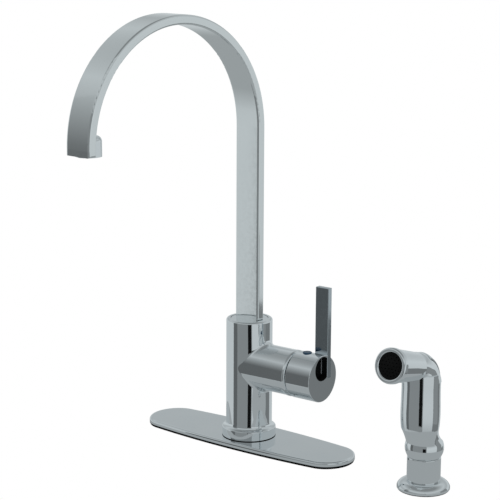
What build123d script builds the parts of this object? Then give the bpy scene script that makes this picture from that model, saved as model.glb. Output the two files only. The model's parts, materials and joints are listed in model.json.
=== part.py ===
"""Side spray kitchen faucet, in millimetres.

The origin is the centre of the faucet's deck hole, at the counter's surface. +Z is up, +X points
along the side branch to the handle, and -Y points to the basin. Everything below z = 0 is under
the counter. The spout turns about Z, the handle turns about the branch's axis and tips outwards,
and the sprayer lifts out of its holder at +X.
"""
import os
from math import cos, degrees, radians, sin, sqrt

from build123d import *

# ---- clearances ------------------------------------------------------------------------------
thread_gap = 0.05      # between plain stand-ins for two mating threads
seat_gap = 0.05        # between two pieces that seat in each other and don't move
running_gap = 0.05     # between a shaft and its bearing
free_gap = 0.35        # between curved faces that pass each other
washer_gap = 0.3       # between a washer's bore and the shank

# ---- deck plate ------------------------------------------------------------------------------
plate_length = 241.5
plate_width = 67.1
plate_side_radius = 900.0
plate_corner_radius = 24.0
plate_end_radius = 30.0
plate_height = 5.2
plate_wall = 1.6
plate_edge_round = 2.4
gasket_thickness = 1.5
gasket_inset = 0.7
plate_top = gasket_thickness + plate_height

# ---- column, branch and foot -----------------------------------------------------------------
column_radius = 22.6
column_top = 125.6
column_rim_round = 2.2
ring_radius = 26.4
ring_height = 10.0
ring_edge_round = 1.2
ring_foot_bevel = 0.5
foot_radius = 25.2
foot_height = 4.2
branch_radius = 22.3
branch_height = 79.4   # of the branch's axis above the counter
branch_end = 54.5
junction_round = 4.0   # between the branch and the column

# ---- spout -----------------------------------------------------------------------------------
spout_heading = -5.0   # degrees about Z at rest; 0 would point straight at the basin
spout_width = 29.9
spout_thickness = 9.0
spout_wall = 1.3
spout_edge_round = 2.0
arch_radius = 106.9    # of the spout's centre line
arch_height = 313.2    # of the arch's centre
tip_drop = 5.6         # straight length below the arch at the outlet end
tip_wall = 1.5
collar_radius = 18.0
collar_thickness = 3.3
collar_sink = 0.4      # collar's face below the column's rim
post_radius = 13.5
post_bore = 9.0
post_length = 29.0
post_socket = 15.0     # radius of the bore in the column
bush_height = 7.0
bush_spacing = 21.5
groove_width = 3.0
groove_depth = 1.3
o_ring_section = 1.35
o_ring_drops = (10.0, 15.0)    # below the top of the post
outlet_radius = 11.6
outlet_setback = 8.5   # outlet's axis behind the spout's centre line
outlet_height = 18.2
outlet_drop = 0.8      # outlet housing below the spout's tip
outlet_dome = 5.0
insert_radius = 9.6
insert_height = 7.0
insert_wall = 1.2
insert_hole_circle = 5.6
insert_hole_radius = 1.1
insert_hole_count = 8
screen_hole_circles = (2.6, 5.2, 7.8)
screen_hole_radius = 0.8
screen_hole_counts = (6, 12, 18)
screen_thickness = 1.0
seal_height = 1.6
seal_bore = 8.0
waterway_radius = 2.1
waterway_offset = 7.4  # towards the spout's outer face

# ---- cartridge, along the branch's axis --------------------------------------------------------
cartridge_seat = 20.0  # X of the seat inside the branch
cartridge_radius = 17.5
cartridge_length = 24.0
cartridge_floor = 6.0
cartridge_wall = 3.0
port_circle = 9.0
port_radius = 2.6
port_seal_radius = 4.2
port_seal_depth = 1.2
disc_thickness = 3.5
disc_gap = 0.05
fixed_disc_radius = 14.3
moving_disc_radius = 10.8
disc_recess = 1.2
disc_recess_radius = 7.4
ball_socket_depth = 1.8
rotor_length = 10.6
rotor_slot = 20.0      # height of the slot that the stem tips in
stem_pivot = 40.5      # X of the pin that the stem tips about
stem_pin_radius = 1.5
stem_pin_length = 24.0
stem_width = 8.0
stem_end = 78.4
stem_ball_radius = 1.6
stem_neck_length = 3.0
stem_neck_radius = 1.3
bonnet_thread_radius = 19.2
bonnet_nut_bore = 13.2
bonnet_nut_start = 44.0
dome_length = 4.1
dome_straight = 1.6
dome_step = 0.3        # dome's rim above the branch
dome_nose_radius = 18.5
dome_bore = 15.0

# ---- handle ----------------------------------------------------------------------------------
hub_radius = 22.7
hub_start = 60.7
hub_end = 88.15
hub_cavity_radius = 20.5
hub_cavity_depth = 6.0
hub_edge_round = 0.5
pocket_radius = 11.8
pocket_rise = 9.7      # centre of the end pocket above the hub's axis
pocket_depth = 8.1
plug_floor = 0.9
plug_wall = 0.6
plug_sink = 0.4        # plug's rim below the hub's end face
lever_depth = 14.85    # along X
lever_thickness = 5.8  # along Y
lever_side = 7.8       # nearer face of the lever, behind the hub's axis
lever_top = 165.9
lever_root = 1.4       # lever's foot below the hub's axis
lever_edge_round = 0.6
button_x = 70.1
button_radius = 4.35
button_seat = 19.6     # radius at which the button's underside lies
button_proud = 0.9
button_dome = 0.6
screw_radius = 2.0
screw_length = 9.0
screw_socket = 1.1

# ---- waterways and diverter --------------------------------------------------------------------
inlet_circle = 8.5     # radius at which the three ports lie in the body's underside
inlet_radius = 4.45
inlet_depth = 14.0
shank_socket_depth = 15.3
spout_chamber_floor = 86.0
diverter_radius = 6.5
diverter_floor = 45.0
diverter_wall = 1.7
diverter_length = 26.0
piston_radius = 4.7
piston_length = 15.0
piston_bore = 2.2

# ---- mounting under the deck -------------------------------------------------------------------
shank_radius = 16.0
shank_bore = 13.2
shank_length = 60.0    # below the counter's surface
shank_chamfer = 1.0
deck_space = 32.0      # room between gasket and washer
washer_radius = 27.0
washer_thickness = 2.0
nut_across_flats = 44.0
nut_height = 12.0
nut_flange_height = 2.5
nut_flange_step = 1.0
nut_chamfer = 0.8

# ---- sprayer's holder --------------------------------------------------------------------------
sprayer_x = 208.0
sprayer_y = -8.0
flange_radius = 24.3
flange_edge = 1.8      # height of the flange's upright edge
flange_height = 8.2
flange_neck = 17.0     # radius at which the bell meets the collar
flange_bulge = 1.0
holder_collar_radius = 15.45
holder_collar_top = 30.9
holder_edge_round = 0.8
holder_bore = 13.6
holder_gasket_thickness = 1.0
holder_shank_radius = 13.9
holder_shank_bore = 11.4
holder_shank_length = 52.0
holder_washer_radius = 21.0
holder_nut_height = 8.0
holder_nut_flats = 36.0
liner_wall = 1.6
liner_height = 18.0

# ---- sprayer -----------------------------------------------------------------------------------
# Radius and height of the bulb's side, round the holder's axis.
bulb_profile = ((15.2, 31.2), (17.8, 39.5), (16.9, 45.0))
# Height, Y from the holder's axis and radius of the neck between bulb and body.
neck_sections = ((45.0, 0.0, 16.9), (51.7, -5.0, 15.8), (60.0, -8.3, 17.2))
# Radius and height of the body's side, round its own axis.
body_profile = ((17.2, 60.0), (18.0, 72.0), (17.7, 88.0), (17.7, 103.8))
body_radius = 17.7
body_offset = -8.3     # Y of the body's axis from the holder's axis
elbow_start = 103.8    # height at which the body starts to bend
throat_rise = 8.0      # height to which the body's front runs up under the head
elbow_radius = 16.3    # of the centre line
elbow_throat = 15.2    # inner half of the elbow's sections, at most
elbow_turn = 76.5      # degrees
elbow_end_radius = 13.0
elbow_steps = 4
head_length = 41.6
head_radius = 15.3
shell_wall = 2.0
face_ring_radius = 16.0
face_ring_bore = 11.8
face_ring_length = 5.0
face_ring_round = 2.0
face_recess = 2.0
face_thickness = 3.0
jet_radius = 0.55
jet_circles = (3.2, 6.2, 9.2)
jet_counts = (6, 12, 18)
spigot_radius = 11.0
spigot_foot = 14.2
spigot_flange_radius = 12.6
spigot_flange_height = 2.0
riser_tube_radius = 6.0
riser_tube_bore = 4.0
connector_foot = 2.0
connector_flats = 17.0
connector_height = 11.0
connector_thread = 5.0
connector_thread_depth = 9.0
connector_bore = 3.0
connector_neck_radius = 4.9
connector_head_radius = 6.5
connector_head_height = 4.0
connector_lip = 2.5
connector_play = 0.3
connector_washer_height = 1.5

# ---- trigger and valve -------------------------------------------------------------------------
trigger_half_width = 10.0
trigger_depth = 4.6    # from its crown to its flat underside
trigger_proud = 1.0
trigger_reach = 56.0   # degrees round the elbow to its top end
trigger_drop = 6.0     # its thumb end below the elbow's start
trigger_stand = 2.0    # degrees that its thumb end stands off
pivot_angle = 44.0
pivot_radius = 22.8    # of the trigger's pin from the elbow's centre
trigger_pin_radius = 1.2
trigger_pin_half = 12.2
ear_radius = 2.8
ear_inner = 4.6
ear_outer = 6.8
ear_spread = 16.0      # degrees of its root on each side
ear_root = 2.4         # depth of its root inside the trigger
boss_radius = 2.6
boss_inner = 7.2
window_gap = 0.7
window_drop = 3.0      # room under the thumb end for its travel
valve_radius = 11.0
valve_foot = 62.0
valve_height = 44.0
valve_inlet_radius = 3.0
valve_inlet_height = 28.0
valve_inlet_offset = 6.3       # from the valve's axis, towards the holder's
plunger_height = 99.0
plunger_radius = 2.5
plunger_guide = 8.0    # depth of the guide below the spring's bore
plunger_head_radius = 4.0
plunger_head_length = 1.6
plunger_reach = 14.7   # head's end from the body's axis
plunger_tail = 2.8     # stem's inner end beyond the body's axis
spring_bore = 5.0
spring_bore_depth = 9.5
spring_radius = 3.6    # of the coil's centre line
spring_wire = 0.55     # radius
spring_turns = 6

# ---- shared planes and shapes ------------------------------------------------------------------
column_axis = Axis.Z
branch_axis = Axis((0, 0, branch_height), (1, 0, 0))
rest_turn = Rotation(0, 0, spout_heading)


def level(height):
    """A level plane at the given height."""
    return Plane.XY.offset(height)


def across(x, rise=0.0, side=0.0):
    """A plane square to the branch at x, with its own x along +Y and its own y up."""
    origin = (x, side, branch_height + rise)
    return Plane(origin=origin, x_dir=(0, 1, 0), z_dir=(1, 0, 0))


def sprayer_level(height, shift=0.0):
    """A level plane over the sprayer's hole, shifted along Y."""
    return Plane(origin=(sprayer_x, sprayer_y + shift, height), x_dir=(1, 0, 0), z_dir=(0, 0, 1))


def round_face(plane, radius, bore=0.0):
    """A round or ring-shaped face on the plane."""
    with BuildSketch(plane) as face:
        Circle(radius)
        if bore:
            Circle(bore, mode=Mode.SUBTRACT)
    return face.sketch


def disc(plane, radius, length, bore=0.0, mode=Mode.ADD):
    """A disc or ring that stands on the plane."""
    extrude(round_face(plane, radius, bore), amount=length, mode=mode)


def on_circle(centre, radius, towards):
    """The point of a circle that lies in the direction of another point."""
    return centre + (towards - centre).normalized() * radius


def between(centre, radius, start, end):
    """The middle of the arc from start to end."""
    return on_circle(centre, radius, (start + end) * 0.5)


def oval(inset):
    """The deck plate's outline: bowed sides, rounded corners and rounded ends."""
    side_centre = Vector(0, plate_width / 2 - plate_side_radius)
    end_centre = Vector(plate_length / 2 - plate_end_radius, 0)
    to_side = plate_side_radius - plate_corner_radius
    to_end = plate_end_radius - plate_corner_radius
    span = (end_centre - side_centre).length
    along = (to_side ** 2 - to_end ** 2 + span ** 2) / (2 * span)
    off = sqrt(to_side ** 2 - along ** 2)
    unit = (end_centre - side_centre).normalized()
    corner_centre = side_centre + unit * along + Vector(unit.Y, -unit.X) * off
    side_radius = plate_side_radius - inset
    corner_radius = plate_corner_radius - inset
    end_radius = plate_end_radius - inset
    top = side_centre + Vector(0, side_radius)
    shoulder = on_circle(side_centre, side_radius, corner_centre)
    hip = on_circle(end_centre, end_radius, corner_centre)
    tip = end_centre + Vector(end_radius, 0)
    with BuildSketch() as outline:
        with BuildLine():
            for across_x, across_y in ((1, 1), (1, -1), (-1, -1), (-1, 1)):
                start, middle, end = [
                    (point.X * across_x, point.Y * across_y)
                    for point in (shoulder, between(corner_centre, corner_radius, shoulder, hip), hip)
                ]
                ThreePointArc(start, middle, end)
            for side in (1, -1):
                ThreePointArc((-shoulder.X, side * shoulder.Y), (top.X, side * top.Y),
                              (shoulder.X, side * shoulder.Y))
                ThreePointArc((side * hip.X, hip.Y), (side * tip.X, tip.Y), (side * hip.X, -hip.Y))
        make_face()
    return outline.sketch


os.makedirs("parts", exist_ok=True)


def finish(builder, name):
    """Names a piece and writes it."""
    builder.part.label = name
    export_step(builder.part, f"parts/{name}.step")


# ================================ deck plate ====================================================
with BuildPart() as deck_gasket:
    with BuildSketch(Plane.XY):
        add(oval(gasket_inset))
        Circle(shank_radius + washer_gap, mode=Mode.SUBTRACT)
    extrude(amount=gasket_thickness)
finish(deck_gasket, "deck_gasket")

with BuildPart() as plate_base:
    with BuildSketch(level(gasket_thickness)):
        add(oval(plate_wall + seat_gap))
        Circle(shank_radius + washer_gap, mode=Mode.SUBTRACT)
    extrude(amount=plate_height - plate_wall)
finish(plate_base, "plate_base")

with BuildPart() as deck_plate:
    with BuildSketch(level(gasket_thickness)):
        add(oval(0))
    extrude(amount=plate_height)
    fillet(deck_plate.edges().group_by(Axis.Z)[-1], radius=plate_edge_round)
    with BuildSketch(level(gasket_thickness)):
        add(oval(plate_wall))
    extrude(amount=plate_height - plate_wall, mode=Mode.SUBTRACT)
    disc(level(gasket_thickness), shank_radius + washer_gap, plate_height, mode=Mode.SUBTRACT)
finish(deck_plate, "deck_plate")

# ================================ column and branch =============================================
ring_top = plate_top + ring_height
foot_top = ring_top + foot_height

with BuildPart() as base_ring:
    disc(level(plate_top), ring_radius, ring_height)
    fillet(base_ring.edges().group_by(Axis.Z)[-1], radius=ring_edge_round)
    chamfer(base_ring.edges().group_by(Axis.Z)[0], length=ring_foot_bevel)
    disc(level(plate_top), column_radius + seat_gap, ring_height, mode=Mode.SUBTRACT)
finish(base_ring, "base_ring")

post_top = column_top - collar_sink - collar_thickness
seat_depth = collar_sink + collar_thickness + free_gap
seat_floor = column_top - seat_depth
inlet_floor = plate_top + shank_socket_depth
inlet_angles = (60, -60)
port_y = port_circle * sin(radians(60))
port_drop = port_circle * cos(radians(60))

with BuildPart() as faucet_body:
    with BuildSketch(Plane.XZ):
        with BuildLine():
            Polyline((0, plate_top), (column_radius, plate_top), (column_radius, ring_top))
            Line((column_radius, ring_top), (foot_radius, ring_top))
            TangentArc((column_radius, foot_top), (foot_radius, ring_top), tangent=(0, -1))
            Polyline((column_radius, foot_top), (column_radius, column_top), (0, column_top))
            Line((0, column_top), (0, plate_top))
        make_face()
    revolve(axis=column_axis)
    fillet(faucet_body.edges().group_by(Axis.Z)[-1], radius=column_rim_round)
    disc(across(0), branch_radius, branch_end)
    fillet(faucet_body.edges().filter_by(GeomType.BSPLINE), radius=junction_round)
    # Seat, bore and chamber of the spout.
    disc(level(seat_floor), collar_radius + free_gap, seat_depth, mode=Mode.SUBTRACT)
    disc(level(spout_chamber_floor), post_socket, seat_floor - spout_chamber_floor, mode=Mode.SUBTRACT)
    # Chamber of the cartridge, with the wider thread of its nut in front.
    disc(across(cartridge_seat), cartridge_radius + seat_gap, branch_end - cartridge_seat,
         mode=Mode.SUBTRACT)
    disc(across(bonnet_nut_start), bonnet_thread_radius, branch_end - bonnet_nut_start,
         mode=Mode.SUBTRACT)
    # Socket of the shank, and the three hose ports above it.
    disc(level(plate_top), shank_radius + thread_gap, shank_socket_depth, mode=Mode.SUBTRACT)
    with BuildSketch(level(inlet_floor)):
        with PolarLocations(inlet_circle, 3, start_angle=60):
            Circle(inlet_radius)
    extrude(amount=inlet_depth, mode=Mode.SUBTRACT)
    # Two inlets rise to the cartridge, and the third port drops from the diverter.
    with BuildSketch(level(inlet_floor + inlet_depth)):
        for angle in inlet_angles:
            with Locations((inlet_circle * cos(radians(angle)), inlet_circle * sin(radians(angle)))):
                Circle(port_radius)
    extrude(amount=branch_height - port_drop - inlet_floor - inlet_depth, mode=Mode.SUBTRACT)
    with BuildSketch(across(inlet_circle * cos(radians(60)))):
        with Locations((port_y, -port_drop), (-port_y, -port_drop), (0, port_circle)):
            Circle(port_radius)
    extrude(amount=cartridge_seat - inlet_circle * cos(radians(60)), mode=Mode.SUBTRACT)
    with BuildSketch(level(inlet_floor + inlet_depth)):
        with Locations((-inlet_circle, 0)):
            Circle(port_radius)
    extrude(amount=diverter_floor - inlet_floor - inlet_depth, mode=Mode.SUBTRACT)
    with BuildSketch(level(diverter_floor)):
        with Locations((-inlet_circle, 0)):
            Circle(diverter_radius)
    extrude(amount=spout_chamber_floor - diverter_floor, mode=Mode.SUBTRACT)
finish(faucet_body, "faucet_body")

# ================================ diverter ======================================================
diverter_foot = diverter_floor + 4
piston_foot = diverter_foot + diverter_wall


def diverter_level(height):
    """A level plane over the diverter's axis."""
    return Plane(origin=(-inlet_circle, 0, height), x_dir=(1, 0, 0), z_dir=(0, 0, 1))


with BuildPart() as diverter_body:
    disc(diverter_level(diverter_foot), diverter_radius, diverter_length)
    disc(diverter_level(piston_foot), piston_radius + running_gap, diverter_length, mode=Mode.SUBTRACT)
    disc(diverter_level(diverter_foot), piston_bore, diverter_wall, mode=Mode.SUBTRACT)
finish(diverter_body, "diverter_body")

with BuildPart() as diverter_piston:
    disc(diverter_level(piston_foot), piston_radius, piston_length)
    disc(diverter_level(piston_foot), piston_bore, piston_length, mode=Mode.SUBTRACT)
finish(diverter_piston, "diverter_piston")

# ================================ mounting under the deck =======================================
with BuildPart() as mounting_shank:
    disc(level(-shank_length), shank_radius, shank_length + inlet_floor)
    chamfer(mounting_shank.edges().group_by(Axis.Z)[0], length=shank_chamfer)
    disc(level(-shank_length), shank_bore, shank_length + inlet_floor, mode=Mode.SUBTRACT)
finish(mounting_shank, "mounting_shank")

with BuildPart() as shank_rubber_washer:
    disc(level(-deck_space - washer_thickness), washer_radius, washer_thickness,
         shank_radius + washer_gap)
finish(shank_rubber_washer, "shank_rubber_washer")

steel_washer_foot = -deck_space - 2 * washer_thickness
with BuildPart() as shank_steel_washer:
    disc(level(steel_washer_foot), washer_radius, washer_thickness, shank_radius + washer_gap)
finish(shank_steel_washer, "shank_steel_washer")


def hex_nut(plane, flats, height, rim, bore):
    """A hexagon nut with a round flange, hung below the plane."""
    with BuildPart() as nut:
        with BuildSketch(plane):
            RegularPolygon(radius=flats / 2, side_count=6, major_radius=False)
        extrude(amount=-height)
        chamfer(nut.edges().group_by(Axis.Z)[0], length=nut_chamfer)
        disc(plane, rim, -nut_flange_height)
        disc(plane, bore, -height, mode=Mode.SUBTRACT)
    return nut


mounting_nut = hex_nut(level(steel_washer_foot), nut_across_flats, nut_height,
                       washer_radius - nut_flange_step, shank_radius + thread_gap)
finish(mounting_nut, "mounting_nut")

# ================================ spout =========================================================
spout_side = Plane.YZ  # its own x is +Y and its own y is up
riser_foot = post_top + collar_thickness
tip_height = arch_height - tip_drop


def arch(margin, foot, tip):
    """The spout's side view, drawn in from its surface by the margin."""
    outer = arch_radius + spout_thickness / 2 - margin
    inner = arch_radius - spout_thickness / 2 + margin
    near = spout_thickness / 2 - margin
    far = -2 * arch_radius
    with BuildSketch() as side:
        with BuildLine():
            Line((near, foot), (near, arch_height))
            ThreePointArc((near, arch_height), (-arch_radius, arch_height + outer),
                          (far - near, arch_height))
            Polyline((far - near, arch_height), (far - near, tip), (far + near, tip),
                     (far + near, arch_height))
            ThreePointArc((far + near, arch_height), (-arch_radius, arch_height + inner),
                          (-near, arch_height))
            Polyline((-near, arch_height), (-near, foot), (near, foot))
        make_face()
    return side.sketch


outlet_y = outlet_setback - 2 * arch_radius
outlet_foot = tip_height - outlet_drop


def outlet_level(height):
    """A level plane over the outlet's axis."""
    return Plane(origin=(0, outlet_y, height), x_dir=(1, 0, 0), z_dir=(0, 0, 1))


with BuildPart() as outlet_housing:
    disc(outlet_level(outlet_foot), outlet_radius, outlet_height)
    fillet(outlet_housing.edges().group_by(Axis.Z)[-1], radius=outlet_dome)
    disc(outlet_level(outlet_foot), insert_radius + seat_gap,
         screen_thickness + insert_height + seal_height, mode=Mode.SUBTRACT)
    with BuildSketch(outlet_level(outlet_foot)):
        with Locations((0, -waterway_offset)):
            Circle(waterway_radius)
    extrude(amount=outlet_height, mode=Mode.SUBTRACT)

with BuildPart() as spout_tube:
    with BuildSketch(spout_side):
        add(arch(0, riser_foot, tip_height))
    extrude(amount=spout_width / 2, both=True)
    fillet(spout_tube.edges().filter_by(Axis.X, reverse=True), radius=spout_edge_round)
    with BuildSketch(spout_side):
        add(arch(spout_wall, riser_foot, tip_height + tip_wall))
    extrude(amount=spout_width / 2 - spout_wall, both=True, mode=Mode.SUBTRACT)
    disc(outlet_level(outlet_foot), outlet_radius, outlet_height - outlet_dome, mode=Mode.SUBTRACT)
    add(outlet_housing.part, mode=Mode.SUBTRACT)

with BuildPart() as spout_collar:
    disc(level(post_top), collar_radius, collar_thickness)
    with BuildSketch(level(post_top)):
        Rectangle(spout_width - 4 * spout_wall, spout_thickness - 2 * spout_wall)
    extrude(amount=collar_thickness, mode=Mode.SUBTRACT)

with BuildPart() as spout_post:
    disc(level(post_top - post_length), post_radius, post_length, post_bore)
    for drop in o_ring_drops:
        disc(level(post_top - drop - groove_width / 2), post_radius, groove_width,
             post_radius - groove_depth, mode=Mode.SUBTRACT)

with BuildPart() as spout_o_rings:
    with BuildSketch(Plane.XZ):
        for drop in o_ring_drops:
            with Locations((post_radius - groove_depth + o_ring_section, post_top - drop)):
                Circle(o_ring_section)
    revolve(axis=column_axis)

with BuildPart() as aerator_screen:
    disc(outlet_level(outlet_foot), insert_radius, screen_thickness)
    with BuildSketch(outlet_level(outlet_foot)):
        for circle, count in zip(screen_hole_circles, screen_hole_counts):
            with PolarLocations(circle, count):
                Circle(screen_hole_radius)
    extrude(amount=screen_thickness, mode=Mode.SUBTRACT)

with BuildPart() as aerator_insert:
    disc(outlet_level(outlet_foot + screen_thickness), insert_radius, insert_height)
    disc(outlet_level(outlet_foot + screen_thickness), insert_radius - insert_wall,
         insert_height - insert_wall, mode=Mode.SUBTRACT)
    with BuildSketch(outlet_level(outlet_foot + screen_thickness)):
        with PolarLocations(insert_hole_circle, insert_hole_count):
            Circle(insert_hole_radius)
    extrude(amount=insert_height, mode=Mode.SUBTRACT)

with BuildPart() as aerator_seal:
    disc(outlet_level(outlet_foot + screen_thickness + insert_height), insert_radius, seal_height,
         seal_bore)

spout_pieces = {
    "spout_tube": spout_tube,
    "spout_collar": spout_collar,
    "spout_post": spout_post,
    "spout_o_rings": spout_o_rings,
    "outlet_housing": outlet_housing,
    "aerator_screen": aerator_screen,
    "aerator_insert": aerator_insert,
    "aerator_seal": aerator_seal,
}
for name, piece in spout_pieces.items():
    piece.part = rest_turn * piece.part
    finish(piece, name)

for name, top in (("spout_bush_upper", seat_floor), ("spout_bush_lower", seat_floor - bush_spacing)):
    with BuildPart() as spout_bush:
        disc(level(top - bush_height), post_socket, bush_height, post_radius + running_gap)
    finish(spout_bush, name)

# ================================ cartridge =====================================================
port_places = ((port_y, -port_drop), (-port_y, -port_drop), (0, port_circle))
disc_front = cartridge_seat + cartridge_floor + disc_thickness
moving_front = disc_front + disc_gap + disc_thickness
rotor_start = moving_front + disc_gap
housing_bore = cartridge_radius - cartridge_wall

with BuildPart() as cartridge_housing:
    disc(across(cartridge_seat), cartridge_radius, cartridge_length)
    disc(across(cartridge_seat + cartridge_floor), housing_bore, cartridge_length, mode=Mode.SUBTRACT)
    with BuildSketch(across(cartridge_seat)):
        with Locations(*port_places):
            Circle(port_radius)
    extrude(amount=cartridge_floor, mode=Mode.SUBTRACT)
    with BuildSketch(across(cartridge_seat)):
        with Locations(*port_places):
            Circle(port_seal_radius)
    extrude(amount=port_seal_depth, mode=Mode.SUBTRACT)
finish(cartridge_housing, "cartridge_housing")

with BuildPart() as port_seals:
    with BuildSketch(across(cartridge_seat)):
        with Locations(*port_places):
            Circle(port_seal_radius)
        with Locations(*port_places):
            Circle(port_radius, mode=Mode.SUBTRACT)
    extrude(amount=port_seal_depth)
finish(port_seals, "port_seals")

with BuildPart() as fixed_disc:
    disc(across(cartridge_seat + cartridge_floor), fixed_disc_radius, disc_thickness)
    with BuildSketch(across(cartridge_seat + cartridge_floor)):
        with Locations(*port_places):
            Circle(port_radius)
    extrude(amount=disc_thickness, mode=Mode.SUBTRACT)
finish(fixed_disc, "fixed_disc")

with BuildPart() as moving_disc:
    disc(across(disc_front + disc_gap), moving_disc_radius, disc_thickness)
    disc(across(disc_front + disc_gap), disc_recess_radius, disc_recess, mode=Mode.SUBTRACT)
    disc(across(moving_front), stem_ball_radius + free_gap, -ball_socket_depth, mode=Mode.SUBTRACT)
finish(moving_disc, "moving_disc")

with BuildPart() as cartridge_rotor:
    disc(across(rotor_start), housing_bore - running_gap, rotor_length)
    with BuildSketch(across(rotor_start)):
        Rectangle(stem_width + 2 * free_gap, rotor_slot)
    extrude(amount=rotor_length, mode=Mode.SUBTRACT)
    with BuildSketch(Plane.XZ):
        with Locations((stem_pivot, branch_height)):
            Circle(stem_pin_radius)
    extrude(amount=stem_pin_length / 2, both=True, mode=Mode.SUBTRACT)
finish(cartridge_rotor, "cartridge_rotor")

with BuildPart() as stem_pin:
    with BuildSketch(Plane.XZ):
        with Locations((stem_pivot, branch_height)):
            Circle(stem_pin_radius)
    extrude(amount=stem_pin_length / 2, both=True)
finish(stem_pin, "stem_pin")

with BuildPart() as cartridge_stem:
    with BuildSketch(across(moving_front + stem_neck_length)):
        Rectangle(stem_width, stem_width)
    extrude(amount=stem_end - moving_front - stem_neck_length)
    with Locations((moving_front, 0, branch_height)):
        Sphere(stem_ball_radius)
    disc(across(moving_front), stem_neck_radius, stem_neck_length)
    with BuildSketch(Plane.XZ):
        with Locations((stem_pivot, branch_height)):
            Circle(stem_pin_radius + running_gap)
    extrude(amount=stem_width, both=True, mode=Mode.SUBTRACT)
finish(cartridge_stem, "cartridge_stem")

with BuildPart() as bonnet_nut:
    disc(across(bonnet_nut_start), bonnet_thread_radius - thread_gap, branch_end - bonnet_nut_start,
         bonnet_nut_bore)
finish(bonnet_nut, "bonnet_nut")

dome_end = branch_end + dome_length
with BuildPart() as bonnet_dome:
    with BuildSketch(Plane.XZ):
        with BuildLine():
            rim = (branch_end + dome_straight, branch_height + branch_radius + dome_step)
            nose = (dome_end, branch_height + dome_nose_radius)
            Line((branch_end, branch_height + dome_bore), (branch_end, rim[1]))
            Line((branch_end, rim[1]), rim)
            TangentArc(rim, nose, tangent=(1, 0))
            Line(nose, (dome_end, branch_height + dome_bore))
            Line((dome_end, branch_height + dome_bore), (branch_end, branch_height + dome_bore))
        make_face()
    revolve(axis=branch_axis)
finish(bonnet_dome, "bonnet_dome")

# ================================ handle ========================================================
lever_back = hub_end - lever_depth
lever_foot = branch_height - lever_root
stem_grip = stem_width / 2 + seat_gap


with BuildSketch(level(lever_foot)) as lever_section:
    with Locations((lever_back + lever_depth / 2, lever_side + lever_thickness / 2)):
        Rectangle(lever_depth, lever_thickness)

with BuildPart() as handle_hub:
    disc(across(hub_start), hub_radius, hub_end - hub_start)
    fillet(handle_hub.edges().filter_by(GeomType.CIRCLE), radius=hub_edge_round)
    disc(across(hub_start), hub_cavity_radius, hub_cavity_depth, mode=Mode.SUBTRACT)
    with BuildSketch(across(hub_start)):
        Rectangle(2 * stem_grip, 2 * stem_grip)
    extrude(amount=stem_end + seat_gap - hub_start, mode=Mode.SUBTRACT)
    disc(across(hub_end - pocket_depth, rise=pocket_rise), pocket_radius, pocket_depth,
         mode=Mode.SUBTRACT)
    extrude(lever_section.sketch, amount=2 * hub_radius, mode=Mode.SUBTRACT)
    with BuildSketch(level(branch_height)):
        with Locations((button_x, 0)):
            Circle(screw_radius + thread_gap)
    extrude(amount=hub_radius, mode=Mode.SUBTRACT)
    with BuildSketch(level(branch_height + button_seat)):
        with Locations((button_x, 0)):
            Circle(button_radius + seat_gap)
    extrude(amount=hub_radius, mode=Mode.SUBTRACT)
finish(handle_hub, "handle_hub")

with BuildPart() as handle_plug:
    plug_foot = hub_end - pocket_depth
    plug_radius = pocket_radius - seat_gap
    disc(across(plug_foot, rise=pocket_rise), plug_radius, pocket_depth - plug_sink)
    disc(across(plug_foot + plug_floor, rise=pocket_rise), plug_radius - plug_wall, pocket_depth,
         mode=Mode.SUBTRACT)
    with BuildSketch(across(plug_foot)):
        with Locations((lever_side - seat_gap + pocket_radius, pocket_rise)):
            Rectangle(2 * pocket_radius, 2 * pocket_radius)
    extrude(amount=pocket_depth, mode=Mode.SUBTRACT)
finish(handle_plug, "handle_plug")

with BuildPart() as handle_lever:
    extrude(lever_section.sketch, amount=lever_top - lever_foot)
    long_edges = handle_lever.edges().filter_by(Axis.Z)
    fillet(long_edges + handle_lever.edges().group_by(Axis.Z)[-1], radius=lever_edge_round)
finish(handle_lever, "handle_lever")

with BuildPart() as handle_set_screw:
    with BuildSketch(level(branch_height + stem_width / 2)):
        with Locations((button_x, 0)):
            Circle(screw_radius)
    extrude(amount=screw_length)
    with BuildSketch(level(branch_height + stem_width / 2 + screw_length)):
        with Locations((button_x, 0)):
            RegularPolygon(radius=screw_socket, side_count=6)
    extrude(amount=-screw_length / 3, mode=Mode.SUBTRACT)
finish(handle_set_screw, "handle_set_screw")

with BuildPart() as index_button:
    with BuildSketch(level(branch_height + button_seat)):
        with Locations((button_x, 0)):
            Circle(button_radius)
    extrude(amount=hub_radius + button_proud - button_seat)
    fillet(index_button.edges().group_by(Axis.Z)[-1], radius=button_dome)
finish(index_button, "index_button")

# ================================ sprayer's holder ==============================================
holder_plane = Plane(origin=(sprayer_x, sprayer_y, 0), x_dir=(1, 0, 0), z_dir=(0, -1, 0))
holder_axis = Axis((sprayer_x, sprayer_y, 0), (0, 0, 1))
liner_foot = holder_collar_top - liner_height

with BuildPart() as holder_gasket:
    disc(sprayer_level(0), flange_radius - gasket_inset, holder_gasket_thickness,
         holder_shank_radius + washer_gap)
finish(holder_gasket, "holder_gasket")

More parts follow.
